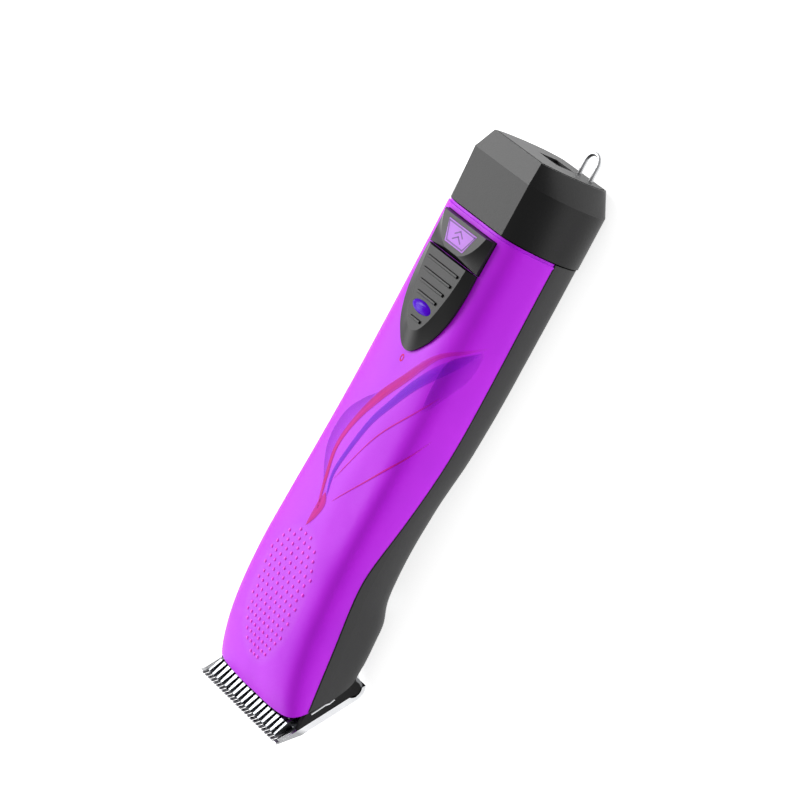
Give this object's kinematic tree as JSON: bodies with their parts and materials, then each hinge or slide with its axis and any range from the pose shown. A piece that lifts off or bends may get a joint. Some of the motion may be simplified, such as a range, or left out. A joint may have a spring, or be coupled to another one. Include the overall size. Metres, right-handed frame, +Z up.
{
  "type": "electric pet clipper",
  "caption": "Cordless handheld clipper with a flat-topped tapering body, sliding switch, pull-out battery pack and a tilting clip-on comb-and-cutter blade set driven by a lever.",
  "frame": {"origin": "centre of the bounding box at table level", "axes": "+X from the blade towards the battery, +Y across the body, +Z up through the switch side; Z = 0 is the table it lies on"},
  "size_m": [0.1845, 0.0468, 0.0308],
  "materials": {
    "violet_shell": "satin",
    "charcoal_plastic": "fine matte",
    "battery_plastic": "fine matte",
    "switch_plastic": "satin",
    "lens_violet": "polished",
    "label_violet": "satin",
    "black_plastic": "satin",
    "blade_chrome": "polished",
    "cutter_steel": "ground",
    "spring_steel": "drawn",
    "zinc_steel": "zinc plated",
    "nylon_white": "moulded",
    "board_green": "solder mask",
    "copper_contact": "gold flashed",
    "cell_wrap": "shrink film",
    "rubber_lead": "insulation"
  },
  "bodies": {
    "housing": {"upper_housing": "violet_shell", "lower_housing": "charcoal_plastic", "housing_screws": "zinc_steel", "release_springs": "spring_steel", "release_spring_seat": "zinc_steel", "circuit_board": "board_green", "power_switch": "black_plastic", "status_led": "nylon_white", "board_components": "black_plastic", "contact_block": "black_plastic", "body_contacts": "copper_contact", "motor_can": "zinc_steel", "motor_end_bell": "black_plastic", "motor_bearing": "copper_contact", "mechanism_frame": "zinc_steel", "motor_screws": "zinc_steel", "lever_pivot_pin": "zinc_steel", "hinge_bracket": "blade_chrome", "hinge_screw": "zinc_steel", "hinge_pin": "zinc_steel", "head_face_frame": "black_plastic", "blade_retaining_wires": "blade_chrome", "latch_spring": "spring_steel", "motor_leads": "rubber_lead"},
    "switch": {"switch_slider": "switch_plastic", "led_lens": "lens_violet"},
    "release": {"release_button": "switch_plastic", "release_label": "label_violet"},
    "battery": {"battery_stick": "charcoal_plastic", "battery_contacts": "copper_contact", "battery_cells": "cell_wrap", "battery_cap": "battery_plastic", "battery_end_plate": "battery_plastic", "charge_socket": "black_plastic", "protection_board": "board_green", "hanging_loop": "blade_chrome"},
    "rotor": {"motor_rotor": "cutter_steel", "eccentric_crank": "zinc_steel", "crank_bearing": "spring_steel"},
    "lever": {"drive_lever": "nylon_white", "lever_bushing": "copper_contact", "drive_tip": "black_plastic"},
    "blade_set": {"hinge_tongue": "blade_chrome", "comb_plate": "blade_chrome", "heel_curl": "blade_chrome", "cutter_guide": "black_plastic", "tension_spring": "spring_steel", "blade_socket": "blade_chrome", "blade_screws": "zinc_steel"},
    "cutter": {"cutter_plate": "cutter_steel"},
    "latch": {"latch_button": "charcoal_plastic"}
  },
  "joints": [
    {"name": "switch_slide", "type": "slide", "parent": "housing", "child": "switch", "axis": [-0.9998, 0, -0.0217], "range_m": [0, 0.004]},
    {"name": "release_press", "type": "slide", "parent": "housing", "child": "release", "axis": [0, 0, -1], "range_m": [0, 0.001], "stiffness_N_per_m": 900, "springref_m": -0.0008, "deforming": ["release_springs"]},
    {"name": "battery_slide", "type": "slide", "parent": "housing", "child": "battery", "axis": [1, 0, 0], "range_m": [0, 0.055]},
    {"name": "motor_spin", "type": "hinge", "parent": "housing", "child": "rotor", "pos_m": [-0.034, 0, 0.0148], "axis": [1, 0, 0], "continuous": true},
    {"name": "lever_swing", "type": "hinge", "parent": "housing", "child": "lever", "pos_m": [-0.052, 0, 0.0148], "axis": [0, 0, 1], "range_deg": [-2.6, 2.6]},
    {"name": "blade_tilt", "type": "hinge", "parent": "housing", "child": "blade_set", "pos_m": [-0.0706, 0, 0.0038], "axis": [0, -1, 0], "range_deg": [0, 45]},
    {"name": "cutter_slide", "type": "slide", "parent": "blade_set", "child": "cutter", "axis": [0, -1, 0], "range_m": [-0.00116, 0.00116]},
    {"name": "latch_press", "type": "slide", "parent": "housing", "child": "latch", "axis": [0, 0, 1], "range_m": [0, 0.0012], "stiffness_N_per_m": 700, "springref_m": -0.0008, "deforming": ["latch_spring"]}
  ],
  "couplings": [
    {"joint": "lever_swing", "follows": "cutter_slide", "rad_per_m": 39.032}
  ]
}
